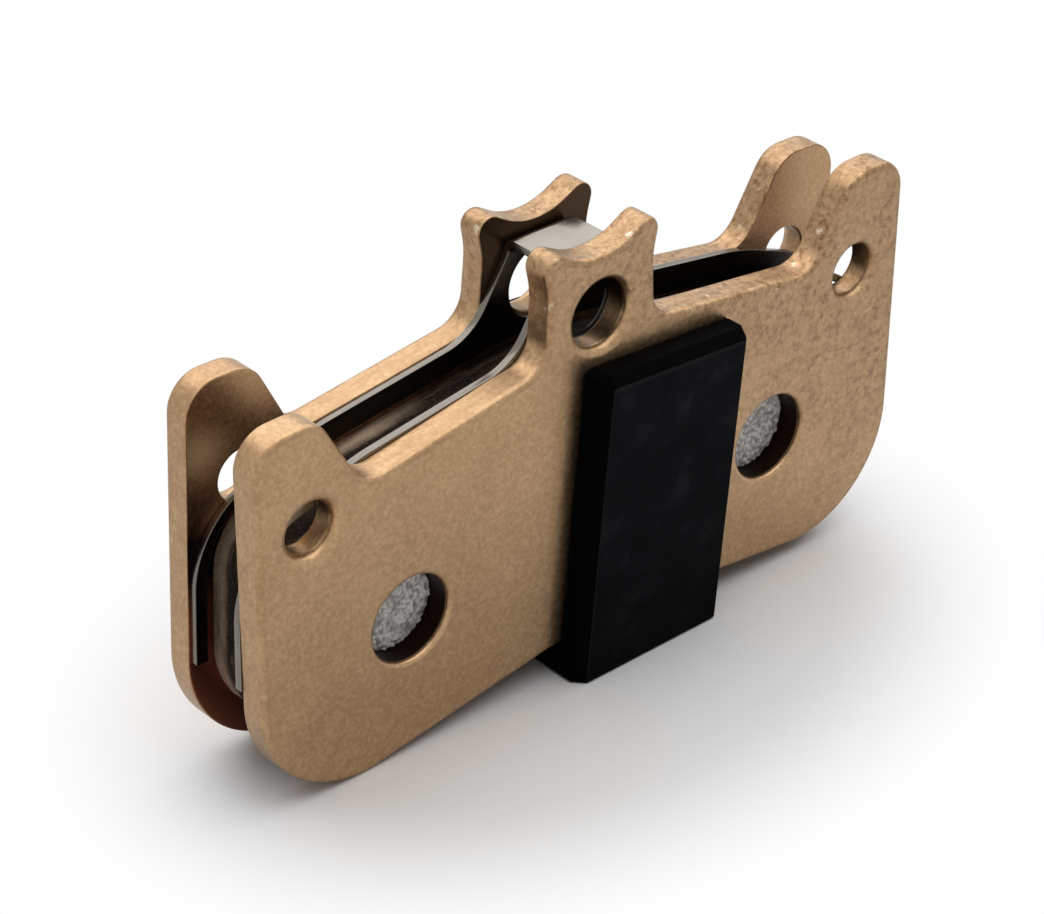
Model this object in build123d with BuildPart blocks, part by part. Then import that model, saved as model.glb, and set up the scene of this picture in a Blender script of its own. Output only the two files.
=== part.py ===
from build123d import *
import os
from math import cos, hypot, radians, sin, tan

# A pair of bicycle disc brake pads with the return spring between them, pinched together by the
# plastic clip that they travel in. Millimetres: X runs along the pads, Y goes from the front pad
# to the rear pad and Z goes up from the floor. The pads are alike: the rear one is the front one
# turned half round about Z, and each hangs a little askew on the axis of the pin hole.

# Backing plate, stamped from sheet. Heights and drops are measured from the pin hole's centre.
plate_thickness = 1.9
plate_half_width = 26.15
plate_edge_bevel = 0.45
plate_corner_drop = 25.3
plate_corner_radius = 7.6
pad_turn = 1.23

# Arched lower edge between the two lower corners
arch_rise = 3.4
arch_radius = 40.0

# Pull tab on top, with a dip between two horns and a faint waist below them
horn_half_width = 4.95
horn_height = 6.0
horn_radius = 0.93
dip_depth = 2.7
dip_radius = 5.0
waist_half_width = 4.2
waist_depth = 3.4
waist_radius = 6.0
neck_half_width = 4.4
neck_drop = 1.9
neck_radius = 2.0

# Ears at the two ends
ear_height = 1.6
ear_width = 4.75
ear_slant = 3.15
ear_inner_radius = 2.3
ear_outer_radius = 2.3
ear_root_drop = 4.0
ear_root_radius = 2.2

# Holes through the plate; the friction material closes the two anchor holes from inside
pin_hole_radius = 2.2
pin_hole_bevel = 0.5
ear_hole_radius = 1.7
ear_hole_bevel = 0.6
ear_hole_inset = 4.0
ear_hole_drop = 5.4
anchor_hole_radius = 2.9
anchor_hole_bevel = 0.3
anchor_hole_offset = 15.0
anchor_hole_drop = 14.85

# Friction block moulded on the plate's inner face
friction_thickness = 2.0
friction_end_inset = 1.8
friction_top_drop = 3.5
friction_top_radius = 30.0
friction_shoulder_radius = 4.5
friction_lower_radius = 6.5
friction_lower_margin = 1.5
friction_edge_chamfer = 0.4
friction_gap = 0.18

# Return spring, bent from thin sheet: a saddle over the gap and two winged legs
spring_sheet = 0.5
spring_bend_radius = 0.9
saddle_half_width = 2.5
saddle_rise = 1.2
spring_hole_clearance = 0.2
stem_spread = 0.88
stem_sink = 0.27
wing_root_radius = 4.0
wing_bend_inset = 8.5
wing_bend_drop = 4.02
wing_bend_radius = 15.0
finger_inset = 0.2
finger_top_drop = 7.27
finger_top_radius = 6.5
finger_end_drop = 16.2
spring_friction_clearance = 0.2

# Transport clip: a U whose arms grip the plates' outer faces and whose foot is flat on the floor
clip_width = 12.1
clip_shift = 3.25
clip_lean = 3.8
clip_arm_thickness = 2.0
clip_pin_gap = 1.4
clip_top_chamfer = 0.65
clip_side_chamfer = 0.4
clip_inner_round = 0.4
clip_web_clearance = 0.1

# Places that follow from the sizes above
inner_half = friction_thickness + friction_gap / 2
outer_half = inner_half + plate_thickness
turn = radians(pad_turn)

ear_inner_x = plate_half_width - ear_width
ear_root_x = ear_inner_x - ear_slant
ear_hole_offset = plate_half_width - ear_hole_inset
arch_drop = plate_corner_drop - arch_rise
shoulder_slope = (ear_root_drop - neck_drop) / (ear_root_x - neck_half_width)
arch_slope = arch_rise / plate_half_width

# The lower corner that hangs lowest touches the floor, and that sets the height of the pin hole
corner_centre_x = plate_half_width - plate_corner_radius
corner_centre_drop = plate_corner_drop - plate_corner_radius * (arch_slope + hypot(1, arch_slope))
pin_height = plate_corner_radius + corner_centre_drop * cos(turn) + corner_centre_x * sin(turn)

# Each plane lies on an outer face, with its own X along the pad and its normal pointing outwards
front_outside = Plane(
    origin=(0, -outer_half, pin_height), x_dir=(cos(turn), 0, sin(turn)), z_dir=(0, -1, 0)
)
rear_outside = Plane(
    origin=(0, outer_half, pin_height), x_dir=(-cos(turn), 0, sin(turn)), z_dir=(0, 1, 0)
)


def both_sides(half_outline):
    """The corners of a symmetric outline, from those on and to the right of its middle line."""
    left_side = [(-x, z, radius) for x, z, radius in reversed(half_outline) if x > 0]
    return half_outline + left_side


def rounded_face(corners):
    """A face whose corners are rounded, each corner being its place and its radius."""
    with BuildSketch() as face:
        with BuildLine():
            Polyline(*[(x, z) for x, z, radius in corners], close=True)
        make_face()
        for x, z, radius in corners:
            if radius > 0:
                fillet(face.vertices().sort_by_distance((x, z))[0], radius)
    return face.sketch


def friction_outline(margin):
    """The friction block's outline, grown outwards by a margin."""
    end_x = plate_half_width - friction_end_inset + margin
    top_drop = friction_top_drop - margin * hypot(1, shoulder_slope)
    bottom_drop = arch_drop - (friction_lower_margin - margin) * hypot(1, arch_slope)
    return both_sides(
        [
            (0, -top_drop, friction_top_radius),
            (end_x, -top_drop - shoulder_slope * end_x, friction_shoulder_radius + margin),
            (end_x, -bottom_drop - arch_slope * end_x, friction_lower_radius + margin),
            (0, -bottom_drop, arch_radius),
        ]
    )


plate_outline = both_sides(
    [
        (0, horn_height - dip_depth, dip_radius),
        (horn_half_width, horn_height, horn_radius),
        (waist_half_width, horn_height - waist_depth, waist_radius),
        (neck_half_width, -neck_drop, neck_radius),
        (ear_root_x, -ear_root_drop, ear_root_radius),
        (ear_inner_x, ear_height, ear_inner_radius),
        (plate_half_width, ear_height, ear_outer_radius),
        (plate_half_width, -plate_corner_drop, plate_corner_radius),
        (0, -arch_drop, arch_radius),
    ]
)

# Stamped blank of the backing plate. Each of its five holes has a place, a radius and a bevel.
plate_holes = [
    (0, 0, pin_hole_radius, pin_hole_bevel),
    (-ear_hole_offset, -ear_hole_drop, ear_hole_radius, ear_hole_bevel),
    (ear_hole_offset, -ear_hole_drop, ear_hole_radius, ear_hole_bevel),
    (-anchor_hole_offset, -anchor_hole_drop, anchor_hole_radius, anchor_hole_bevel),
    (anchor_hole_offset, -anchor_hole_drop, anchor_hole_radius, anchor_hole_bevel),
]
with BuildSketch() as plate_blank:
    add(rounded_face(plate_outline))
    for x, z, radius, bevel in plate_holes:
        with Locations((x, z)):
            Circle(radius, mode=Mode.SUBTRACT)

# Flat form of one spring leg: a tapering stem round the pin, and wings that skirt the friction block.
# The spring stands level, so it leaves room for the turn of the friction blocks.
spring_hole_radius = pin_hole_radius + spring_hole_clearance
saddle_height = spring_hole_radius + saddle_rise
stem_top = saddle_height - spring_bend_radius
wing_x = plate_half_width - finger_inset
wing_margin = spring_friction_clearance + (plate_half_width - friction_end_inset) * sin(turn)
with BuildSketch() as leg_blank:
    add(
        rounded_face(
            both_sides(
                [
                    (saddle_half_width, stem_top, 0),
                    (neck_half_width + stem_spread, -neck_drop - stem_sink, wing_root_radius),
                    (plate_half_width - wing_bend_inset, -wing_bend_drop, wing_bend_radius),
                    (wing_x, -finger_top_drop, finger_top_radius),
                    (wing_x, -finger_end_drop, 0),
                ]
            )
        )
    )
    add(rounded_face(friction_outline(wing_margin)), mode=Mode.SUBTRACT)
    Circle(spring_hole_radius, mode=Mode.SUBTRACT)

os.makedirs("parts", exist_ok=True)

# The two pads are alike, each built inwards from the plane of its own outer face
for side, outside in (("front", front_outside), ("rear", rear_outside)):
    outward = Axis(outside.origin, outside.z_dir)

    # Backing plate: the punch rolls its outer edges, drawn as a bevel, and leaves the inner ones sharp
    with BuildPart() as backing_plate:
        with BuildSketch(outside):
            add(plate_blank.sketch)
        extrude(amount=-plate_thickness)
        outer_face = backing_plate.faces().sort_by(outward)[-1]
        hole_rims = outer_face.inner_wires().edges()
        chamfer(outer_face.outer_wire().edges(), plate_edge_bevel)
        for x, z, radius, bevel in plate_holes:
            hole_centre = outside.from_local_coords((x, z, 0))
            chamfer(hole_rims.sort_by_distance(hole_centre)[0], bevel)
    backing_plate.part.label = f"{side}_backing_plate"
    export_step(backing_plate.part, f"parts/{side}_backing_plate.step")

    # Friction block: pressed flat on the inner face, with the rim of its rubbing face bevelled
    with BuildPart() as friction_block:
        with BuildSketch(outside.offset(-plate_thickness)):
            add(rounded_face(friction_outline(0)))
        extrude(amount=-friction_thickness)
        rubbing_face = friction_block.faces().sort_by(outward)[0]
        chamfer(rubbing_face.edges(), friction_edge_chamfer)
    friction_block.part.label = f"{side}_friction_block"
    export_step(friction_block.part, f"parts/{side}_friction_block.step")


def saddle_arch(inset):
    """The inverted U of the saddle, seen along the pads and drawn in from its outside by an inset."""
    half = inner_half - inset
    shoulder = (half, saddle_height - inset, spring_bend_radius - inset)
    return rounded_face(both_sides([shoulder, (half, spring_hole_radius, 0)]))


# Return spring: the legs lie flat on the plates' inner faces and the saddle joins them on top
with BuildPart() as return_spring:
    for facing in (-1, 1):
        leg_plane = Plane(
            origin=(0, facing * inner_half, pin_height), x_dir=(-facing, 0, 0), z_dir=(0, facing, 0)
        )
        with BuildSketch(leg_plane):
            add(leg_blank.sketch)
        extrude(amount=-spring_sheet)
    with BuildSketch(Plane(origin=(0, 0, pin_height), x_dir=(0, 1, 0), z_dir=(1, 0, 0))):
        add(saddle_arch(0))
        add(saddle_arch(spring_sheet), mode=Mode.SUBTRACT)
    extrude(amount=saddle_half_width, both=True)
return_spring.part.label = "return_spring"
export_step(return_spring.part, "parts/return_spring.step")

# Transport clip: the arms lean to one side, and the web passes under the plates' arched edges
lean = tan(radians(clip_lean))
clip_left = clip_shift - clip_width / 2
clip_right = clip_shift + clip_width / 2
arm_height = pin_height - pin_hole_radius - clip_pin_gap
left_height = arm_height + clip_width / 2 * lean
right_height = arm_height - clip_width / 2 * lean
plate_underside = (arch_drop + arch_slope * clip_right) * cos(turn) + clip_right * sin(turn)
web_top = pin_height - plate_underside - clip_web_clearance
with BuildPart() as transport_clip:
    with BuildSketch(Plane.XZ) as arm_outline:
        with BuildLine():
            Polyline(
                (clip_left, 0),
                (clip_right, 0),
                (clip_right + right_height * lean, right_height),
                (clip_left + left_height * lean, left_height),
                close=True,
            )
        make_face()
    extrude(amount=outer_half + clip_arm_thickness, both=True)
    with BuildSketch(Plane.YZ) as slot:
        with Locations((0, web_top + left_height / 2)):
            Rectangle(2 * outer_half, left_height)
    extrude(until=Until.LAST, both=True, mode=Mode.SUBTRACT)
    web_face = transport_clip.faces().filter_by(Axis.Z).sort_by(Axis.Z)[-1]
    fillet(web_face.edges().filter_by(Axis.X), clip_inner_round)
    arm_faces = transport_clip.faces().filter_by(Axis.Y).sort_by(Axis.Y)
    side_edges = [face.edges().sort_by(Axis.Z)[1:3] for face in (arm_faces[0], arm_faces[-1])]
    chamfer(side_edges[0] + side_edges[1], clip_side_chamfer)
    arm_faces = transport_clip.faces().filter_by(Axis.Y).sort_by(Axis.Y)
    top_edges = [face.edges().sort_by(Axis.Z)[-1] for face in (arm_faces[0], arm_faces[-1])]
    chamfer(top_edges, clip_top_chamfer)
transport_clip.part.label = "transport_clip"
export_step(transport_clip.part, "parts/transport_clip.step")
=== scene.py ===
from math import acos, atan2, ceil, cos, hypot, pi, radians, sin, tan

import bmesh
import bpy
from mathutils import Matrix, Vector, noise


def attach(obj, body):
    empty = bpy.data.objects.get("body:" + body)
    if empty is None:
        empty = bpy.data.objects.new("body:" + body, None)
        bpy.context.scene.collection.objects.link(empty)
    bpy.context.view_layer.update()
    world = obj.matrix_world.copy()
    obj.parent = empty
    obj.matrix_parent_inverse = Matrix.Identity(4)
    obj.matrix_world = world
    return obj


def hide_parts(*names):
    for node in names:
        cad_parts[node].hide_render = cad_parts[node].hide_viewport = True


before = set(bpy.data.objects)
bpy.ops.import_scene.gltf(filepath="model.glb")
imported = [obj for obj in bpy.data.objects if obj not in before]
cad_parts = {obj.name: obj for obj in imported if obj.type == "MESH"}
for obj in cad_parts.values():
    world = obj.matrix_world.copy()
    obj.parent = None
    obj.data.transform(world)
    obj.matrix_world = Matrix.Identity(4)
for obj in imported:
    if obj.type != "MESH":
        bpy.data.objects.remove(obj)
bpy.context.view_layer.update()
scene = bpy.context.scene

# Backing plates: each is stamped from steel sheet and coated tan. The punch rolls the edges of the
# outer face over and leaves the inner edges sharp. The rear plate is the front one turned half round,
# and each hangs a little askew on the axis of the pin hole. Sizes are in millimetres from that axis.
millimetre = 0.001
plate_thickness = 1.9
plate_half_width = 26.15
plate_corner_drop = 25.3
plate_corner_radius = 7.6
plate_roll = 0.38
plate_inner_break = 0.07
pad_turn = radians(1.23)
arch_rise = 3.4
arch_radius = 40.0
horn_half_width = 4.95
horn_height = 6.0
horn_radius = 0.93
dip_depth = 2.7
dip_radius = 5.0
waist_half_width = 4.2
waist_depth = 3.4
waist_radius = 6.0
neck_half_width = 4.4
neck_drop = 1.9
neck_radius = 2.0
ear_height = 1.6
ear_width = 4.75
ear_slant = 3.15
ear_radius = 2.3
ear_root_drop = 4.0
ear_root_radius = 2.2
pin_hole_radius = 2.2
pin_hole_roll = 0.58
ear_hole_radius = 1.7
ear_hole_roll = 0.68
ear_hole_inset = 4.0
ear_hole_drop = 5.4
anchor_hole_radius = 2.9
anchor_hole_roll = 0.32
anchor_hole_x = 15.0
anchor_hole_drop = 14.85
friction_thickness = 2.0
friction_gap = 0.18
inner_half = friction_thickness + friction_gap / 2
outer_half = inner_half + plate_thickness
ear_inner_x = plate_half_width - ear_width
ear_root_x = ear_inner_x - ear_slant
ear_hole_x = plate_half_width - ear_hole_inset
arch_drop = plate_corner_drop - arch_rise
arch_slope = arch_rise / plate_half_width
corner_centre_x = plate_half_width - plate_corner_radius
corner_centre_drop = plate_corner_drop - plate_corner_radius * (arch_slope + hypot(1, arch_slope))
pin_height = (
    plate_corner_radius + corner_centre_drop * cos(pad_turn) + corner_centre_x * sin(pad_turn)
)

# How much painted shade darkens the wall of each kind of hole, at its foot and at its top
pin_hole_stain = (0.5, 1.0)
ear_hole_stain = (0.0, 0.65)
anchor_hole_stain = (1.0, 1.0)
plate_holes = [
    (0.0, 0.0, pin_hole_radius, pin_hole_roll, pin_hole_stain),
    (ear_hole_x, -ear_hole_drop, ear_hole_radius, ear_hole_roll, ear_hole_stain),
    (-ear_hole_x, -ear_hole_drop, ear_hole_radius, ear_hole_roll, ear_hole_stain),
    (anchor_hole_x, -anchor_hole_drop, anchor_hole_radius, anchor_hole_roll, anchor_hole_stain),
    (-anchor_hole_x, -anchor_hole_drop, anchor_hole_radius, anchor_hole_roll, anchor_hole_stain),
]


def both_sides(half_outline):
    """The corners of a symmetric outline, from those on and to the right of its middle line."""
    left_side = [(-x, z, radius) for x, z, radius in reversed(half_outline) if x > 0]
    return half_outline + left_side


plate_corners = both_sides(
    [
        (0, horn_height - dip_depth, dip_radius),
        (horn_half_width, horn_height, horn_radius),
        (waist_half_width, horn_height - waist_depth, waist_radius),
        (neck_half_width, -neck_drop, neck_radius),
        (ear_root_x, -ear_root_drop, ear_root_radius),
        (ear_inner_x, ear_height, ear_radius),
        (plate_half_width, ear_height, ear_radius),
        (plate_half_width, -plate_corner_drop, plate_corner_radius),
        (0, -arch_drop, arch_radius),
    ]
)


def outline_ring(corners, inset, arc_step=0.3, run_step=1.2, turn_step=0.12, least_radius=0.02):
    """Points round an outline with rounded corners, drawn inwards by an inset."""
    places = [Vector((x, z)) for x, z, radius in corners]
    sense = 1 if sum(a.cross(b) for a, b in zip(places, places[1:] + places[:1])) > 0 else -1
    arcs = []
    arc_starts = []
    arc_ends = []
    for i, here in enumerate(places):
        radius = corners[i][2]
        behind = (places[i - 1] - here).normalized()
        ahead = (places[(i + 1) % len(places)] - here).normalized()
        half_angle = acos(max(-1.0, min(1.0, behind.dot(ahead)))) / 2
        sweep = pi - 2 * half_angle
        turn = 1 if ahead.cross(behind) > 0 else -1
        bisector = (behind + ahead).normalized()
        rounding = max(radius - inset * turn * sense, least_radius)
        corner = here + bisector * inset * turn * sense / sin(half_angle)
        middle = corner + bisector * rounding / sin(half_angle)
        start = corner + behind * rounding / tan(half_angle) - middle
        start_angle = atan2(start.y, start.x)
        steps = max(3, ceil(sweep * radius / arc_step), ceil(sweep / turn_step))
        arc = []
        for step in range(steps + 1):
            angle = start_angle + turn * sweep * step / steps
            arc.append(middle + rounding * Vector((cos(angle), sin(angle))))
        arcs.append(arc)
        arc_starts.append(here + behind * radius / tan(half_angle))
        arc_ends.append(here + ahead * radius / tan(half_angle))
    points = []
    for i, arc in enumerate(arcs):
        following = (i + 1) % len(arcs)
        points.extend(arc)
        runs = max(1, round((arc_starts[following] - arc_ends[i]).length / run_step))
        points.extend(arc[-1].lerp(arcs[following][0], run / runs) for run in range(1, runs))
    return points


def circle_ring(x, z, radius, count):
    """Points round a hole, in the opposite sense to an outline."""
    angles = [-2 * pi * i / count for i in range(count)]
    return [Vector((x + radius * cos(angle), z + radius * sin(angle))) for angle in angles]


def rolled_edge(roll, thickness, sharp, steps=7):
    """The section of an edge from the outer face to the inner face, as insets and depths. A ring close
    to each bend, held off it by a small distance, keeps the smooth shading to the bend."""
    face_hold = 0.16
    roll_hold = 0.1
    wall_hold = 0.06
    back_hold = 0.09
    sharp_bow = 0.3
    section = [(roll + face_hold, 0.0)]
    for step in range(steps + 1):
        angle = pi / 2 * step / steps
        section.append((roll - roll * sin(angle), roll - roll * cos(angle)))
    section.append((0.0, roll + roll_hold))
    section.append((0.0, thickness - sharp - wall_hold))
    section.append((0.0, thickness - sharp))
    section.append((sharp * sharp_bow, thickness - sharp * sharp_bow))
    section.append((sharp, thickness))
    section.append((sharp + back_hold, thickness))
    return section


def new_shell(*marks):
    """An empty mesh whose points can carry marks, such as how worn an edge is."""
    mesh = bmesh.new()
    for mark in marks:
        mesh.verts.layers.float.new(mark)
    return mesh


def skin_rings(mesh, rings, **marks):
    """Join closed rings with quads; gives back the edges of the first ring and of the last one.
    A mark, such as edge wear, has one amount for each ring, or a list with one for each of its points."""
    rows = []
    for number, ring in enumerate(rings):
        row = [mesh.verts.new(point) for point in ring]
        for mark, amounts in marks.items():
            amount = amounts[number]
            for i, vert in enumerate(row):
                vert[mesh.verts.layers.float[mark]] = amount[i] if isinstance(amount, list) else amount
        rows.append(row)
    for upper, lower in zip(rows, rows[1:]):
        for i in range(len(upper)):
            mesh.faces.new((upper[i - 1], upper[i], lower[i], lower[i - 1]))
    ends = []
    for row in (rows[0], rows[-1]):
        ends.append([mesh.edges.get((row[i - 1], row[i])) for i in range(len(row))])
    return ends


def close_face(mesh, edges):
    """Fill a face inside its outline and round its holes."""
    bmesh.ops.triangle_fill(mesh, use_beauty=True, use_dissolve=False, edges=edges)


def finish_piece(mesh, name, materials):
    """Turn a mesh drawn in millimetres into a smooth piece in metres."""
    bmesh.ops.recalc_face_normals(mesh, faces=mesh.faces[:])
    bmesh.ops.scale(mesh, vec=(millimetre, millimetre, millimetre), verts=mesh.verts[:])
    for face in mesh.faces:
        face.smooth = True
    data = bpy.data.meshes.new(name)
    mesh.to_mesh(data)
    mesh.free()
    piece = bpy.data.objects.new(name, data)
    scene.collection.objects.link(piece)
    for material in materials:
        data.materials.append(material)
    return piece


def on_pad(side, x, z, depth):
    """A place on a pad, from its own right and height and its depth in from the outer face."""
    right = x * cos(pad_turn) - z * sin(pad_turn)
    height = pin_height + x * sin(pad_turn) + z * cos(pad_turn)
    if side == "front":
        return Vector((right, depth - outer_half, height))
    return Vector((-right, outer_half - depth, height))


def set_socket(owner, socket, value):
    """Give a socket a value, or join it by a link if the value is another socket."""
    if isinstance(value, bpy.types.NodeSocket):
        owner.node_tree.links.new(value, socket)
    else:
        socket.default_value = value


def set_inputs(owner, node, **inputs):
    """Set a node's sockets by their names, with _ in place of each space."""
    for label, value in inputs.items():
        set_socket(owner, node.inputs[label.replace("_", " ")], value)


def node_in(owner, kind, **inputs):
    """A new node of a material or of the room, with its sockets set."""
    node = owner.node_tree.nodes.new(kind)
    set_inputs(owner, node, **inputs)
    return node


def new_finish(name):
    """A new material, its surface shader, and places on the piece in millimetres."""
    material = bpy.data.materials.new(name)
    material.use_nodes = True
    shader = material.node_tree.nodes["Principled BSDF"]
    places = node_in(material, "ShaderNodeTexCoord")
    scaled = node_in(material, "ShaderNodeVectorMath")
    scaled.operation = "SCALE"
    set_socket(material, scaled.inputs["Scale"], 1 / millimetre)
    set_socket(material, scaled.inputs[0], places.outputs["Object"])
    return material, shader, scaled.outputs[0]


def stretched(material, places, scale):
    """Places drawn out or pressed together along each axis."""
    return node_in(material, "ShaderNodeMapping", Vector=places, Scale=scale).outputs["Vector"]


def speckle(material, places, cell, detail=2.0, rough=0.5):
    """Soft noise whose cells are so many millimetres across."""
    node = node_in(
        material, "ShaderNodeTexNoise", Vector=places, Scale=1.0 / cell, Detail=detail, Roughness=rough
    )
    return node.outputs["Fac"]


def ramp(material, value, *stops):
    """A ramp of colours over a value, each stop being its place and its colour."""
    node = node_in(material, "ShaderNodeValToRGB", Fac=value)
    elements = node.color_ramp.elements
    while len(elements) < len(stops):
        elements.new(0.5)
    for element, (place, colour) in zip(elements, stops):
        element.position = place
        element.color = (*colour, 1.0)
    return node.outputs["Color"]


def grey(level):
    """A grey, also used for an amount of roughness."""
    return (level, level, level)


def spots(material, places, cell, least, most, detail=3.0, rough=0.65):
    """Blots that are so many millimetres across, from 0 between them to 1 inside them."""
    value = speckle(material, places, cell, detail, rough)
    return ramp(material, value, (least, grey(0.0)), (most, grey(1.0)))


def mixed(material, amount, first, second):
    """Two colours mixed by an amount, each given as a colour or as a socket. Of the node's many
    sockets, 0 takes the amount, 6 and 7 take the colours, and output 2 gives the mixed one."""
    node = node_in(material, "ShaderNodeMix")
    node.data_type = "RGBA"
    set_socket(material, node.inputs[0], amount)
    for socket, colour in ((node.inputs[6], first), (node.inputs[7], second)):
        set_socket(material, socket, (*colour, 1.0) if isinstance(colour, tuple) else colour)
    return node.outputs[2]


def arithmetic(owner, operation, first, second):
    """One step of arithmetic on two values or sockets, held between 0 and 1."""
    node = node_in(owner, "ShaderNodeMath")
    node.operation = operation
    node.use_clamp = True
    set_socket(owner, node.inputs[0], first)
    set_socket(owner, node.inputs[1], second)
    return node.outputs[0]


def together(owner, first, *others):
    """The product of several amounts."""
    product = first
    for other in others:
        product = arithmetic(owner, "MULTIPLY", product, other)
    return product


def fade(owner, value, start, end, least=0.0, most=1.0):
    """An amount that goes from least to most while a value goes from its start to its end."""
    node = node_in(
        owner, "ShaderNodeMapRange", Value=value, From_Min=start, From_Max=end, To_Min=least, To_Max=most
    )
    return node.outputs["Result"]


def marked(material, mark):
    """How strongly a piece's points carry a mark."""
    node = node_in(material, "ShaderNodeAttribute")
    node.attribute_name = mark
    return node.outputs["Fac"]


def relief(material, shader, height, strength, depth):
    """Small bumps on a surface, their depth in millimetres."""
    bump = node_in(
        material, "ShaderNodeBump", Strength=strength, Distance=depth * millimetre, Height=height
    )
    set_inputs(material, shader, Normal=bump.outputs["Normal"])


# The coat itself, with a fine grain and a slow drift of its tone
tan_shade = (0.357, 0.225, 0.117)
tan_middle = (0.435, 0.278, 0.151)
tan_light = (0.525, 0.347, 0.202)
tan_drift_shade = (0.39, 0.24, 0.125)
tan_drift_light = (0.50, 0.33, 0.185)
tan_drift_share = 0.3
tan_coat, tan_shader, tan_places = new_finish("tan_coated_steel")
tan_grain = speckle(tan_coat, tan_places, cell=0.30, detail=3.0, rough=0.7)
tan_grained = ramp(tan_coat, tan_grain, (0.38, tan_shade), (0.50, tan_middle), (0.63, tan_light))
tan_drift = speckle(tan_coat, tan_places, cell=4.0, detail=3.0)
tan_drifting = ramp(tan_coat, tan_drift, (0.32, tan_drift_shade), (0.68, tan_drift_light))
tan_drifted = mixed(tan_coat, tan_drift_share, tan_grained, tan_drifting)

# The outer faces are specked by handling and painted a duller brown, both most towards the upper right;
# the dull brown is painted shade that dims the metal's reflection there
handled_towards = (0.8, 0.0, 1.0)
handled_from = 16.0
handled_fully = 30.0
handled_least = 0.15
dulled_share = 0.2
dulled_brown = (0.24, 0.165, 0.105)
speck_brown = (0.235, 0.146, 0.080)
tan_upper_right = node_in(tan_coat, "ShaderNodeVectorMath")
tan_upper_right.operation = "DOT_PRODUCT"
set_socket(tan_coat, tan_upper_right.inputs[0], tan_places)
set_socket(tan_coat, tan_upper_right.inputs[1], handled_towards)
tan_handled = fade(
    tan_coat, tan_upper_right.outputs["Value"], handled_from, handled_fully, least=handled_least
)
tan_inside = marked(tan_coat, "heat_tint")
tan_touched = arithmetic(tan_coat, "SUBTRACT", tan_handled, tan_inside)
# The dull brown is painted shade, strongest towards the upper right
tan_dulled = mixed(tan_coat, together(tan_coat, tan_touched, dulled_share), tan_drifted, dulled_brown)
tan_specks = together(
    tan_coat,
    spots(tan_coat, tan_places, cell=0.42, least=0.45, most=0.68),
    spots(tan_coat, tan_places, cell=3.5, least=0.24, most=0.50),
    tan_touched,
)
tan_specked = mixed(tan_coat, tan_specks, tan_dulled, speck_brown)

# The sheared edges are drawn with fine brown lines, shear streaks that are also painted shade to dim
# the edges' reflection; where handled they are chipped, rubbed bare in places, which also paints glints,
# and dirty in the corners
drawn_scale = (0.3, 1.6, 1.0)
drawn_share = 0.65
drawn_brown = (0.28, 0.165, 0.085)
chip_brown = (0.17, 0.088, 0.040)
bare_steel = (0.80, 0.68, 0.54)
dirt_brown = (0.10, 0.055, 0.030)
tan_rim = marked(tan_coat, "edge_wear")
tan_knocked = together(tan_coat, tan_rim, tan_handled)
tan_along = stretched(tan_coat, tan_places, drawn_scale)
tan_lines = spots(tan_coat, tan_along, cell=1.1, least=0.38, most=0.66)
# The brown lines are shear streaks and also painted shade on the bright rolled edges
tan_lined = mixed(tan_coat, together(tan_coat, tan_lines, tan_rim, drawn_share), tan_specked, drawn_brown)
tan_chips = spots(tan_coat, tan_places, cell=0.5, least=0.51, most=0.66)
tan_chipped = mixed(tan_coat, together(tan_coat, tan_chips, tan_knocked), tan_lined, chip_brown)
# The bare spots are worn steel and also painted glints, near white where the edges catch the lamp
tan_bare = spots(tan_coat, tan_places, cell=0.9, least=0.64, most=0.74)
tan_rubbed = mixed(tan_coat, together(tan_coat, tan_bare, tan_knocked), tan_chipped, bare_steel)
tan_dirt = together(
    tan_coat,
    spots(tan_coat, tan_places, cell=0.8, least=0.40, most=0.64),
    marked(tan_coat, "edge_dirt"),
    tan_handled,
)
tan_dirty = mixed(tan_coat, tan_dirt, tan_rubbed, dirt_brown)

# The inner faces are painted redder and darker downwards, with a band of painted shadow below the ear
# holes, and the tab's inner face and the hole walls are painted dark: all painted shade between the parts
heat_top_drop = 3.0
heat_full_drop = 9.0
heat_least = 0.05
heat_most = 0.85
soot_top_drop = 6.6
soot_full_drop = 8.0
soot_fading_drop = 10.5
soot_foot_drop = 13.0
heat_red = (0.24, 0.066, 0.040)
soot_black = (0.016, 0.009, 0.007)
stain_brown = (0.024, 0.011, 0.007)
tan_height = node_in(tan_coat, "ShaderNodeSeparateXYZ", Vector=tan_places).outputs["Z"]
# Painted shade on the inner faces, deeper further down between the plates
tan_heat = fade(
    tan_coat, tan_height, pin_height - heat_top_drop, pin_height - heat_full_drop, heat_least, heat_most
)
tan_heated = mixed(tan_coat, together(tan_coat, tan_heat, tan_inside), tan_dirty, heat_red)
tan_soot = together(
    tan_coat,
    fade(tan_coat, tan_height, pin_height - soot_top_drop, pin_height - soot_full_drop),
    fade(tan_coat, tan_height, pin_height - soot_foot_drop, pin_height - soot_fading_drop),
    tan_inside,
)
tan_sooted = mixed(tan_coat, tan_soot, tan_heated, soot_black)
tan_stained = mixed(tan_coat, marked(tan_coat, "sinter_stain"), tan_sooted, stain_brown)
tan_gloss = ramp(tan_coat, tan_grain, (0.3, grey(0.31)), (0.7, grey(0.42)))
tan_sheared = mixed(tan_coat, tan_rim, tan_gloss, grey(0.40))
set_inputs(tan_coat, tan_shader, Base_Color=tan_stained, Roughness=tan_sheared, Metallic=1.0)
relief(tan_coat, tan_shader, tan_grain, strength=0.3, depth=0.03)

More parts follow.
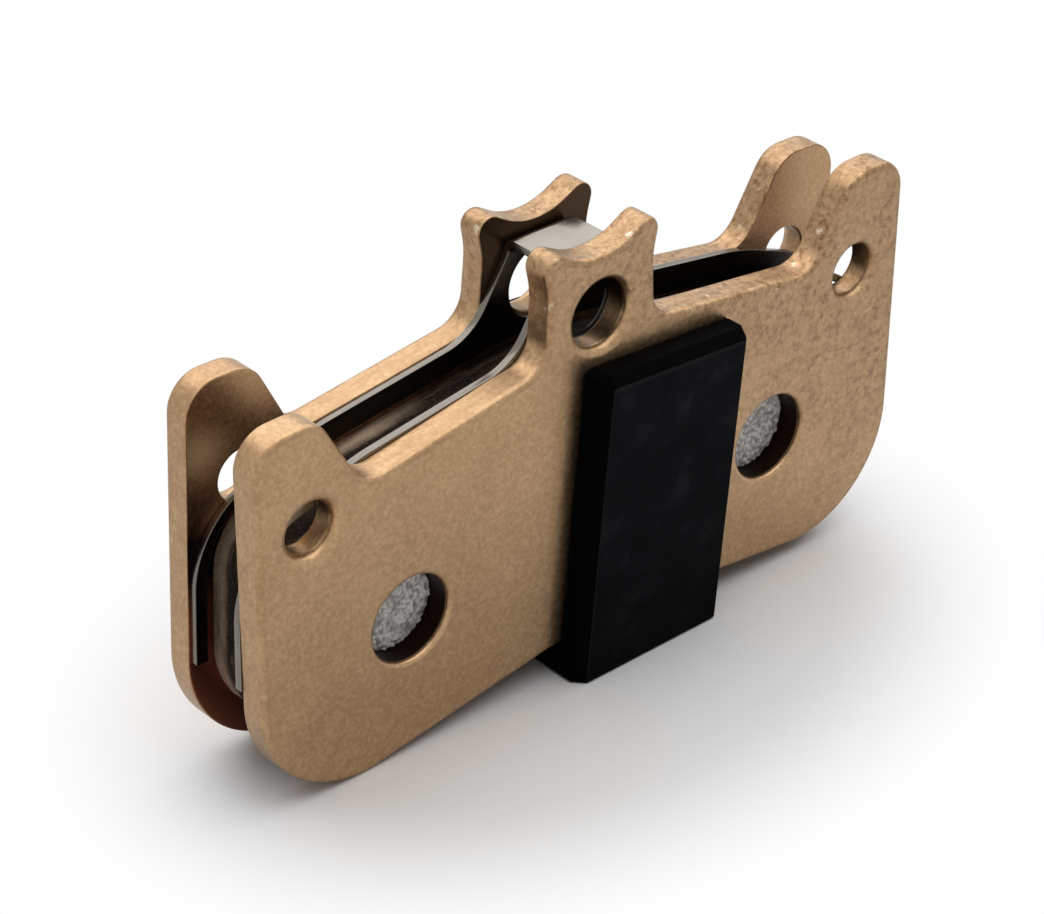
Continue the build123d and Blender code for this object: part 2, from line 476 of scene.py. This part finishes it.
rim_wear = 0.75
roll_dirt = 0.2
inner_edge_dirt = 0.9
tab_stain = 0.9
tab_stain_reach = 6.0
hole_step = 0.22
face_margin = 0.01
for side in ("front", "rear"):
    plate = new_shell("edge_wear", "edge_dirt", "heat_tint", "sinter_stain")
    section = rolled_edge(plate_roll, plate_thickness, plate_inner_break)
    wear = [0.0] + [rim_wear] * (len(section) - 2) + [0.0]
    dirt = []
    rings = []
    for inset, depth in section:
        if plate_roll / 2 < depth <= plate_roll:
            dirt.append(roll_dirt)
        elif plate_thickness - plate_inner_break < depth < plate_thickness:
            dirt.append(inner_edge_dirt)
        else:
            dirt.append(0.0)
        rings.append([on_pad(side, p.x, p.y, depth) for p in outline_ring(plate_corners, inset)])
    face_edges, back_edges = skin_rings(plate, rings, edge_wear=wear, edge_dirt=dirt)
    # Each hole's wall is painted darker from its foot towards its top: painted shade inside the hole
    for x, z, radius, roll, (foot_stain, top_stain) in plate_holes:
        count = ceil(2 * pi * radius / hole_step)
        rings = []
        wall_stain = []
        for inset, depth in rolled_edge(roll, plate_thickness, plate_inner_break):
            ring = circle_ring(x, z, radius + inset, count)
            rings.append([on_pad(side, p.x, p.y, depth) for p in ring])
            rise = [0.5 + 0.5 * (p.y - z) / (radius + inset) for p in ring]
            stains = [foot_stain + (top_stain - foot_stain) * share for share in rise]
            wall_stain.append(stains if depth > roll else 0.0)
        rim_edges, inner_edges = skin_rings(plate, rings, sinter_stain=wall_stain)
        face_edges += rim_edges
        back_edges += inner_edges
    close_face(plate, face_edges)
    close_face(plate, back_edges)
    # Every point of the inner face carries its painted shade, and those on the tab the tab's painted shade
    for vert in plate.verts:
        if outer_half - abs(vert.co.y) > plate_thickness - face_margin:
            on_tab = abs(vert.co.x) < tab_stain_reach and vert.co.z > pin_height - neck_drop
            vert[plate.verts.layers.float["heat_tint"]] = 1.0
            vert[plate.verts.layers.float["sinter_stain"]] = tab_stain if on_tab else 0.0
    piece = finish_piece(plate, f"{side}_plate", [tan_coat])
    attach(piece, "root")
    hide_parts(f"{side}_backing_plate")

# Friction blocks: metal powder pressed hot on the inner face of each plate and sintered. The sides are
# painted near black and grainy, far darker than the same grains that show grey in the plate's two anchor
# holes, where the powder was pressed through: the dark is painted shade for the narrow gap between the
# plates. The rim of the rubbing face is bevelled.
friction_end_inset = 1.8
friction_top_drop = 3.5
friction_top_radius = 30.0
friction_shoulder_radius = 4.5
friction_lower_radius = 6.5
friction_lower_margin = 1.5
friction_bevel = 0.4
shoulder_slope = (ear_root_drop - neck_drop) / (ear_root_x - neck_half_width)


def friction_corners(margin):
    """The friction block's outline, grown outwards by a margin."""
    end_x = plate_half_width - friction_end_inset + margin
    top_drop = friction_top_drop - margin * hypot(1, shoulder_slope)
    lower_drop = arch_drop - (friction_lower_margin - margin) * hypot(1, arch_slope)
    return both_sides(
        [
            (0, -top_drop, friction_top_radius),
            (end_x, -top_drop - shoulder_slope * end_x, friction_shoulder_radius + margin),
            (end_x, -lower_drop - arch_slope * end_x, friction_lower_radius + margin),
            (0, -lower_drop, arch_radius),
        ]
    )


# Sides painted near black as painted shade, with paler streaks in layers and a pale band by the rear joint,
# both mostly at the left
layer_scale = (0.12, 1.0, 0.12)
streak_left = (0.0, -10.0)
streak_least = 0.1
band_depth = (0.7, 1.4)
band_start = (-9.0, -14.0)
band_end = (-17.5, -20.5)
band_end_share = 0.35
flake_share = 0.3
dark_shade = (0.006, 0.004, 0.003)
dark_light = (0.035, 0.022, 0.015)
streak_brown = (0.22, 0.153, 0.105)
band_brown = (0.66, 0.48, 0.34)
flake_brown = (0.20, 0.15, 0.10)
dark_sinter, dark_shader, dark_places = new_finish("dark_sintered_grain")
dark_cells = node_in(dark_sinter, "ShaderNodeTexVoronoi", Vector=dark_places, Scale=3.6)
dark_grain = speckle(dark_sinter, dark_places, cell=0.3, detail=4.0, rough=0.65)
# Near-black base colour: painted shade on the block's sides
dark_base = ramp(dark_sinter, dark_grain, (0.35, dark_shade), (0.7, dark_light))
dark_layers = stretched(dark_sinter, dark_places, layer_scale)
dark_place = node_in(dark_sinter, "ShaderNodeSeparateXYZ", Vector=dark_places)
dark_streaks = together(
    dark_sinter,
    spots(dark_sinter, dark_layers, cell=0.9, least=0.48, most=0.68),
    fade(dark_sinter, dark_place.outputs["X"], *streak_left, least=streak_least),
)
dark_streaked = mixed(dark_sinter, dark_streaks, dark_base, streak_brown)
dark_band = together(
    dark_sinter,
    fade(dark_sinter, dark_place.outputs["Y"], *band_depth),
    fade(dark_sinter, dark_place.outputs["X"], *band_start),
    fade(dark_sinter, dark_place.outputs["X"], *band_end, least=1.0, most=band_end_share),
    spots(dark_sinter, dark_layers, cell=0.5, least=0.12, most=0.50),
)
dark_banded = mixed(dark_sinter, dark_band, dark_streaked, band_brown)
dark_flakes = spots(dark_sinter, dark_places, cell=0.2, least=0.66, most=0.72, detail=1.0)
dark_colour = mixed(dark_sinter, together(dark_sinter, dark_flakes, flake_share), dark_banded, flake_brown)
set_inputs(dark_sinter, dark_shader, Base_Color=dark_colour, Roughness=0.85, Specular_IOR_Level=0.15)
relief(dark_sinter, dark_shader, dark_cells.outputs["Distance"], strength=0.6, depth=0.12)

# Grey grains, painted darker in their hollows and near white on their tops by their height: painted shade
# and painted highlights
grain_hollow = (0.30, 0.280, 0.260)
grain_flank = (0.80, 0.765, 0.73)
grain_top = (0.98, 0.95, 0.92)
grain_fleck_shade = (0.25, 0.23, 0.21)
grain_fleck_light = (0.85, 0.82, 0.78)
grain_fleck_share = 0.3
grey_sinter, grey_shader, grey_places = new_finish("grey_pressed_grain")
grey_grain = speckle(grey_sinter, grey_places, cell=0.12, detail=2.0, rough=0.6)
grey_lumps = ramp(
    grey_sinter,
    marked(grey_sinter, "grain_height"),
    (0.12, grain_hollow),
    (0.45, grain_flank),
    (0.85, grain_top),
)
grey_flecks = ramp(grey_sinter, grey_grain, (0.35, grain_fleck_shade), (0.65, grain_fleck_light))
grey_colour = mixed(grey_sinter, grain_fleck_share, grey_lumps, grey_flecks)
set_inputs(grey_sinter, grey_shader, Base_Color=grey_colour, Roughness=0.7, Metallic=0.2)
relief(grey_sinter, grey_shader, grey_grain, strength=0.4, depth=0.04)

seat_hold = 0.25
seat_break = 0.06
rubbing_hold = 0.2
wall_steps = 9
bevel_steps = 3
block_step = 0.22
side_roughness = 0.13
side_reach = 0.5
side_middle = 0.5
broad_lumps = 1.1
broad_share = 0.6
fine_lumps = 3.7
fine_share = 0.4
grain_size = 0.30
grain_rise = 0.32
grain_fall = 1.5
grain_least = 0.6
grains_round = 190
grains_across = 30
grain_wall_gap = 0.02
grain_rim_gap = 0.05
for side in ("front", "rear"):
    block = new_shell("grain_height")
    wall = friction_thickness - friction_bevel
    section = [(seat_hold, 0.0), (seat_break, 0.0), (0.0, seat_break)]
    for step in range(1, wall_steps + 1):
        section.append((0.0, seat_break + (wall - seat_break) * step / wall_steps))
    for step in range(1, bevel_steps + 1):
        bevelled = friction_bevel * step / bevel_steps
        section.append((bevelled, wall + bevelled))
    section.append((friction_bevel + rubbing_hold, friction_thickness))
    rings = []
    for number, (inset, depth) in enumerate(section):
        rough = side_roughness if 1 < number < len(section) - 2 else 0.0
        ring = []
        for p, inner in zip(
            outline_ring(friction_corners(0), inset, block_step, block_step),
            outline_ring(friction_corners(0), inset + side_reach, block_step, block_step),
        ):
            place = on_pad(side, p.x, p.y, plate_thickness + depth)
            lumps = noise.noise(place * broad_lumps) * broad_share
            lumps += noise.noise(place * fine_lumps) * fine_share
            p = p.lerp(inner, rough * max(0.0, side_middle + lumps) / side_reach)
            ring.append(on_pad(side, p.x, p.y, plate_thickness + depth))
        rings.append(ring)
    seat_edges, rubbing_edges = skin_rings(block, rings)
    close_face(block, rubbing_edges)

    # Powder pressed up into the anchor holes, drawn as rings of lumps from the hole's wall to its middle
    for x, z, radius, roll, stains in plate_holes:
        if radius == anchor_hole_radius:
            wall_ring = circle_ring(x, z, radius - grain_wall_gap, grains_round)
            rings = [[on_pad(side, p.x, p.y, plate_thickness) for p in wall_ring]]
            heights = [0.0]
            for step in range(grains_across):
                reach = (radius - grain_rim_gap) * (1 - step / grains_across)
                ring = []
                heights.append([])
                for p in circle_ring(x, z, reach, grains_round):
                    grain = on_pad(side, p.x, p.y, 0.0) / grain_size
                    nearest = noise.voronoi(grain)[0][0]
                    uneven = grain_least + (1 - grain_least) * noise.noise(grain / 2)
                    lump = max(0.0, 1 - grain_fall * nearest * nearest) * uneven
                    heights[-1].append(lump)
                    ring.append(on_pad(side, p.x, p.y, plate_thickness - grain_rise * lump))
                rings.append(ring)
            hole_edges, middle_edges = skin_rings(block, rings, grain_height=heights)
            seat_edges += hole_edges
            close_face(block, middle_edges)
    close_face(block, seat_edges)
    for face in block.faces:
        if all(outer_half - abs(vert.co.y) < plate_thickness + face_margin for vert in face.verts):
            face.material_index = 1
    piece = finish_piece(block, f"{side}_friction", [dark_sinter, grey_sinter])
    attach(piece, "root")
    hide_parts(f"{side}_friction_block")

# Return spring: one strip of thin spring steel, cut flat and folded over the gap into a saddle. Its
# two legs lie on the plates' inner faces round the pin, and their wings run out along the friction
# blocks and turn down at the ends as fingers. It is drawn flat here and then folded.
spring_sheet = 0.5
spring_bend = 0.9
spring_edge = 0.05
spring_hole_clearance = 0.2
saddle_half_width = 2.5
saddle_rise = 1.2
stem_radius = 1.2
stem_spread = 0.88
stem_sink = 0.27
wing_root_radius = 4.0
wing_bend_inset = 8.5
wing_bend_drop = 4.02
wing_bend_radius = 15.0
finger_inset = 0.2
finger_top_drop = 7.27
finger_top_radius = 6.5
finger_end_drop = 16.2
finger_end_radius = 0.14
spring_friction_clearance = 0.2
spring_hole_radius = pin_hole_radius + spring_hole_clearance
saddle_height = spring_hole_radius + saddle_rise
stem_top = saddle_height - spring_bend
bend_length = (spring_bend - spring_sheet / 2) * pi / 2
fold_middle = stem_top + bend_length + inner_half - spring_bend
wing_margin = spring_friction_clearance + (plate_half_width - friction_end_inset) * sin(pad_turn)


def leg_half(turn=0.0, root_rise=0.0, lower_rise=0.0):
    """The right half of a leg, whose wing may be turned up, and raised at its root and lower edge."""
    slope = sin(turn)
    block_top, block_shoulder = friction_corners(wing_margin)[:2]
    shoulder_x, shoulder_height, shoulder_radius = block_shoulder
    bend_x = plate_half_width - wing_bend_inset
    finger_x = plate_half_width - finger_inset
    finger_shift = finger_end_drop * slope
    return [
        (saddle_half_width, stem_top, stem_radius),
        (neck_half_width + stem_spread, -neck_drop - stem_sink + root_rise, wing_root_radius),
        (bend_x, -wing_bend_drop + bend_x * slope, wing_bend_radius),
        (finger_x + finger_top_drop * slope, -finger_top_drop + finger_x * slope, finger_top_radius),
        (finger_x + finger_shift, -finger_end_drop, finger_end_radius),
        (shoulder_x + finger_shift, -finger_end_drop, finger_end_radius),
        (shoulder_x - shoulder_height * slope, shoulder_height + lower_rise, shoulder_radius),
        block_top,
    ]


# The rear leg's wings stand a little higher than the front ones: the left one is turned up with its pad,
# and the right one is wider, so that it covers the foot of the ear hole
rear_root_rise = 0.17
rear_left_lower_rise = 0.3
rear_right_lower_rise = -0.95
front_half = leg_half()
rear_left = leg_half(pad_turn, rear_root_rise, rear_left_lower_rise)
rear_right = leg_half(0.0, rear_root_rise, rear_right_lower_rise)
spring_corners = front_half + [(-x, run, radius) for x, run, radius in reversed(front_half[:-1])]
spring_corners += [(-x, 2 * fold_middle - run, radius) for x, run, radius in rear_left]
spring_corners += [(x, 2 * fold_middle - run, radius) for x, run, radius in reversed(rear_right[:-1])]


def fold_spring(x, run, depth):
    """A place on the folded spring, from its place on the flat strip and its depth in the sheet."""
    beyond = run > fold_middle
    if beyond:
        run = 2 * fold_middle - run
    if run <= stem_top:
        across = depth - inner_half
        height = run
    elif run <= stem_top + bend_length:
        angle = (run - stem_top) / bend_length * pi / 2
        across = spring_bend - inner_half - (spring_bend - depth) * cos(angle)
        height = stem_top + (spring_bend - depth) * sin(angle)
    else:
        across = spring_bend - inner_half + run - stem_top - bend_length
        height = saddle_height - depth
    if beyond:
        across = -across
    return Vector((x, across, pin_height + height))


# Satin steel with rolling lines along it, painted dark on its inner face and a little on its cut edges:
# painted shade for the dark gap between the plates
rolling_scale = (0.25, 2.2, 2.2)
cloud_share = 0.4
line_shade = (0.184, 0.167, 0.144)
line_light = (0.253, 0.231, 0.202)
cloud_shade = (0.184, 0.163, 0.138)
cloud_light = (0.247, 0.224, 0.198)
dust_brown = (0.035, 0.030, 0.026)
spring_steel, spring_shader, spring_places = new_finish("satin_spring_steel")
spring_along = stretched(spring_steel, spring_places, rolling_scale)
spring_lines = speckle(spring_steel, spring_along, cell=0.35, detail=3.0, rough=0.6)
spring_cloud = speckle(spring_steel, spring_places, cell=1.6)
spring_colour = mixed(
    spring_steel,
    cloud_share,
    ramp(spring_steel, spring_lines, (0.3, line_shade), (0.7, line_light)),
    ramp(spring_steel, spring_cloud, (0.3, cloud_shade), (0.7, cloud_light)),
)
spring_dulled = mixed(spring_steel, marked(spring_steel, "sinter_dust"), spring_colour, dust_brown)
spring_gloss = ramp(spring_steel, spring_lines, (0.3, grey(0.20)), (0.7, grey(0.28)))
set_inputs(spring_steel, spring_shader, Base_Color=spring_dulled, Roughness=spring_gloss, Metallic=1.0)
relief(spring_steel, spring_shader, spring_lines, strength=0.12, depth=0.02)

edge_hold = 0.06
edge_steps = 3
bend_steps = 10
strip_arc_step = 0.25
strip_run_step = 0.8
strip_hole_points = 64
# The inner face and the holes' walls take the most painted shade, the cut edges less
inner_dust = 0.85
sheared_dust = 0.28
cut_margin = 0.00001
section = [(spring_edge + edge_hold, 0.0)]
for step in range(edge_steps + 1):
    angle = pi / 2 * step / edge_steps
    section.append((spring_edge * (1 - sin(angle)), spring_edge * (1 - cos(angle))))
section += [(inset, spring_sheet - depth) for inset, depth in reversed(section)]
strip = new_shell("sinter_dust")
rings = []
dust = []
for inset, depth in section:
    ring = outline_ring(spring_corners, inset, strip_arc_step, strip_run_step)
    rings.append([Vector((p.x, p.y, depth)) for p in ring])
    if depth > spring_sheet - spring_edge / 2:
        dust.append(inner_dust)
    elif depth > spring_edge / 2:
        dust.append(sheared_dust)
    else:
        dust.append(0.0)
outer_edges, inner_edges = skin_rings(strip, rings, sinter_dust=dust)
hole_dust = [0.0] + [inner_dust] * (len(section) - 1)
for run in (0.0, 2 * fold_middle):
    rings = []
    for inset, depth in section:
        ring = circle_ring(0.0, run, spring_hole_radius + inset, strip_hole_points)
        rings.append([Vector((p.x, p.y, depth)) for p in ring])
    hole_outer, hole_inner = skin_rings(strip, rings, sinter_dust=hole_dust)
    outer_edges += hole_outer
    inner_edges += hole_inner
close_face(strip, outer_edges)
close_face(strip, inner_edges)
for step in range(bend_steps + 1):
    bend_run = stem_top + bend_length * step / bend_steps
    for run in (bend_run, 2 * fold_middle - bend_run):
        everything = strip.verts[:] + strip.edges[:] + strip.faces[:]
        bmesh.ops.bisect_plane(
            strip, geom=everything, dist=cut_margin, plane_co=(0.0, run, 0.0), plane_no=(0.0, 1.0, 0.0)
        )
for vert in strip.verts:
    vert.co = fold_spring(*vert.co)
piece = finish_piece(strip, "folded_spring", [spring_steel])
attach(piece, "root")
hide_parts("return_spring")

# Transport clip: a U of black plastic, moulded in one piece, that keeps the pads pinched together until
# they are fitted. Its foot stands on the floor, its web passes under the plates' arched edges, and its
# two arms lean to one side on the plates' outer faces, bevelled along the top and the outer side edges.
clip_width = 12.1
clip_shift = 3.25
clip_lean = tan(radians(3.8))
clip_arm_thickness = 2.0
clip_pin_gap = 1.4
clip_web_clearance = 0.1
clip_top_bevel = 0.65
clip_left_bevel = 0.8
clip_right_bevel = 0.25
clip_foot_round = 0.22
clip_bevel_round = 0.2
clip_lip_round = 0.12
clip_inner_round = 0.4
clip_outer = outer_half + clip_arm_thickness
clip_height = pin_height - pin_hole_radius - clip_pin_gap
clip_right = clip_shift + clip_width / 2
plate_underside = (arch_drop + arch_slope * clip_right) * cos(pad_turn) + clip_right * sin(pad_turn)
web_top = pin_height - plate_underside - clip_web_clearance
bevel_foot = clip_height - clip_top_bevel
clip_section = [
    (-clip_outer, 0.0, clip_foot_round),
    (clip_outer, 0.0, clip_foot_round),
    (clip_outer, bevel_foot, clip_bevel_round),
    (clip_outer - clip_top_bevel, clip_height, clip_bevel_round),
    (outer_half, clip_height, clip_lip_round),
    (outer_half, web_top, clip_inner_round),
    (-outer_half, web_top, clip_inner_round),
    (-outer_half, clip_height, clip_lip_round),
    (clip_top_bevel - clip_outer, clip_height, clip_bevel_round),
    (-clip_outer, bevel_foot, clip_bevel_round),
]


def on_clip(along, across, height):
    """A place on the leaning clip: how far along its width, and its place in the U's section."""
    if height > web_top:
        tilt = 1 + (clip_width / 2 - along) * clip_lean / (clip_height - web_top)
        height = web_top + (height - web_top) * tilt
    return Vector((clip_shift - clip_width / 2 + along + height * clip_lean, across, height))


def bevelled_end(bevel):
    """The section of a bevelled end, from its flat to the side, as insets and places along the width."""
    hold = 0.10
    arris = 0.04
    half = [(bevel + hold, 0.0), (bevel + arris, 0.0), (bevel - arris / 4, arris / 2), (bevel - hold, hold)]
    return half + [(inset, along) for along, inset in reversed(half)]


# Black plastic, smudged by hands on the arms' outer faces, which are also painted paler towards their tops
# as a painted reflection, with a painted highlight line along their edges
clean_shade = (0.0010, 0.0010, 0.0012)
clean_light = (0.0022, 0.0022, 0.0026)
dusty_shade = (0.0058, 0.0062, 0.0078)
dusty_middle = (0.0098, 0.0104, 0.0128)
dusty_light = (0.0210, 0.0220, 0.0250)
rubbed_black = (0.020, 0.021, 0.023)
black_plastic, black_shader, black_places = new_finish("black_moulded_plastic")
black_smudge = speckle(black_plastic, black_places, cell=2.6, detail=3.0, rough=0.6)
black_grain = speckle(black_plastic, black_places, cell=0.12, detail=2.0, rough=0.6)
black_clean = ramp(black_plastic, black_grain, (0.35, clean_shade), (0.7, clean_light))
black_dust = ramp(
    black_plastic, black_smudge, (0.36, dusty_shade), (0.56, dusty_middle), (0.72, dusty_light)
)
black_dusty = mixed(black_plastic, marked(black_plastic, "hand_dust"), black_clean, black_dust)
# The pale line along the faces' edges is a painted highlight
black_colour = mixed(black_plastic, marked(black_plastic, "edge_wear"), black_dusty, rubbed_black)
black_gloss = ramp(black_plastic, black_smudge, (0.35, grey(0.46)), (0.7, grey(0.62)))
set_inputs(
    black_plastic, black_shader, Base_Color=black_colour, Roughness=black_gloss, Specular_IOR_Level=0.01
)
relief(black_plastic, black_shader, black_grain, strength=0.15, depth=0.02)

# The bevels are on the arms' outer edges only; elsewhere the ends taper slightly
clip_end_taper = 0.2
clip_arc_step = 0.2
clip_run_step = 0.3
bevel_margin = 0.5
flat_margin = 0.03
rubbed_height = 0.2
rubbed_inset = 0.1
rubbed_amount = 0.7
foot_dust = 0.35
clip = new_shell("hand_dust", "edge_wear")
section = bevelled_end(clip_left_bevel)
section += [(inset, clip_width - along) for inset, along in reversed(bevelled_end(clip_right_bevel))]
rings = []
rubbed = []
dusted = []
for inset, along in section:
    ring = []
    rubbed.append([])
    dusted.append([])
    for outer, p in zip(
        outline_ring(clip_section, inset, clip_arc_step, clip_run_step),
        outline_ring(clip_section, inset * clip_end_taper, clip_arc_step, clip_run_step),
    ):
        outwards = (abs(p.x) - outer_half - bevel_margin) / (clip_arm_thickness - 2 * bevel_margin)
        share = min(1.0, max(0.0, outwards))
        ring.append(on_clip(along, p.x + (outer.x - p.x) * share, p.y))
        on_face = abs(outer.x) > clip_outer - flat_margin and p.y < bevel_foot
        # Each outer face's border carries a painted highlight line, and the face a painted reflection paler
        # at top
        on_line = on_face and (abs(p.y - bevel_foot) < rubbed_height or 0.0 < inset < rubbed_inset)
        rubbed[-1].append(rubbed_amount if on_line else 0.0)
        dusted[-1].append(foot_dust + (1 - foot_dust) * p.y / clip_height if on_face else 0.0)
    rings.append(ring)
left_edges, right_edges = skin_rings(clip, rings, edge_wear=rubbed, hand_dust=dusted)
close_face(clip, left_edges)
close_face(clip, right_edges)
piece = finish_piece(clip, "black_clip", [black_plastic])
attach(piece, "root")
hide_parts("transport_clip")

# Studio: a white floor that keeps the soft shadow near the pads and fades to plain white further out,
# one large soft light above and a little behind, and a faint even light from the room. The places where
# the floor fades are in millimetres, and the other sizes are in metres.
floor_near = 15.0
floor_far = 28.0
floor_length = 0.75
floor_size = 3.0
floor_sink = 0.00001
paper_shade = (0.94, 0.95, 0.96)
paper_light = (0.955, 0.965, 0.975)
white = (1.0, 1.0, 1.0, 1.0)
room_dim = 0.15
room_bright = 1.0
light_size = 0.90
light_power = 3.7
light_place = Vector((0.11, 0.10, 0.42))
light_target = Vector((0.0, 0.0, 0.01))


def seen_rays(owner):
    """1 for rays from the camera and for those that metal or glass reflect or pass, otherwise 0."""
    paths = node_in(owner, "ShaderNodeLightPath")
    seen = paths.outputs["Is Camera Ray"]
    for label in ("Is Glossy Ray", "Is Transmission Ray"):
        seen = arithmetic(owner, "MAXIMUM", seen, paths.outputs[label])
    return seen


bpy.ops.mesh.primitive_plane_add(size=floor_size, location=(0.0, 0.0, -floor_sink))
floor = bpy.context.object
floor.name = "floor"
floor_paper, floor_shader, floor_places = new_finish("white_paper")
floor_fibre = speckle(floor_paper, floor_places, cell=1.5, detail=3.0)
floor_colour = ramp(floor_paper, floor_fibre, (0.3, paper_shade), (0.7, paper_light))
set_inputs(floor_paper, floor_shader, Base_Color=floor_colour, Roughness=0.9, Specular_IOR_Level=0.0)
floor_glow = node_in(floor_paper, "ShaderNodeEmission", Color=white, Strength=room_bright)
floor_distance = node_in(floor_paper, "ShaderNodeVectorMath")
floor_distance.operation = "LENGTH"
floor_oval = stretched(floor_paper, floor_places, (floor_length, 1.0, 1.0))
set_socket(floor_paper, floor_distance.inputs[0], floor_oval)
floor_fade = node_in(
    floor_paper,
    "ShaderNodeMapRange",
    Value=floor_distance.outputs["Value"],
    From_Min=floor_near,
    From_Max=floor_far,
)
floor_fade.interpolation_type = "SMOOTHSTEP"
floor_mix = node_in(floor_paper, "ShaderNodeMixShader")
floor_seen = together(floor_paper, floor_fade.outputs["Result"], seen_rays(floor_paper))
set_socket(floor_paper, floor_mix.inputs[0], floor_seen)
set_socket(floor_paper, floor_mix.inputs[1], floor_shader.outputs["BSDF"])
set_socket(floor_paper, floor_mix.inputs[2], floor_glow.outputs["Emission"])
floor_surface = floor_paper.node_tree.nodes["Material Output"]
set_inputs(floor_paper, floor_surface, Surface=floor_mix.outputs["Shader"])
floor.data.materials.append(floor_paper)

room = bpy.data.worlds.new("room")
room.use_nodes = True
room_strength = fade(room, seen_rays(room), 0.0, 1.0, room_dim, room_bright)
set_inputs(room, room.node_tree.nodes["Background"], Color=white, Strength=room_strength)
scene.world = room

light_data = bpy.data.lights.new("overhead", "AREA")
light_data.shape = "SQUARE"
light_data.size = light_size
light_data.energy = light_power
light = bpy.data.objects.new("overhead", light_data)
scene.collection.objects.link(light)
light.location = light_place
light.rotation_euler = (light_target - light_place).to_track_quat("-Z", "Y").to_euler()

# Camera: at the viewing angle of the photograph, which was worked out from the holes and outlines. Its
# three directions are of length 1, its place is in metres, and its sensor and lens are in millimetres.
camera_right = Vector((0.73982, -0.67242, 0.02273))
camera_up = Vector((0.34160, 0.40452, 0.84834))
camera_back = Vector((-0.57963, -0.61985, 0.52897))
camera_place = Vector((-0.12023, -0.12591, 0.121372))
camera_data = bpy.data.cameras.new("camera")
camera_data.sensor_fit = "HORIZONTAL"
camera_data.sensor_width = 36.0
camera_data.lens = 115.29
camera_data.clip_start = 0.005
camera = bpy.data.objects.new("camera", camera_data)
scene.collection.objects.link(camera)
camera_turn = Matrix((camera_right, camera_up, camera_back)).transposed()
camera.matrix_world = Matrix.Translation(camera_place) @ camera_turn.to_4x4()
scene.camera = camera
scene.view_settings.view_transform = "Standard"
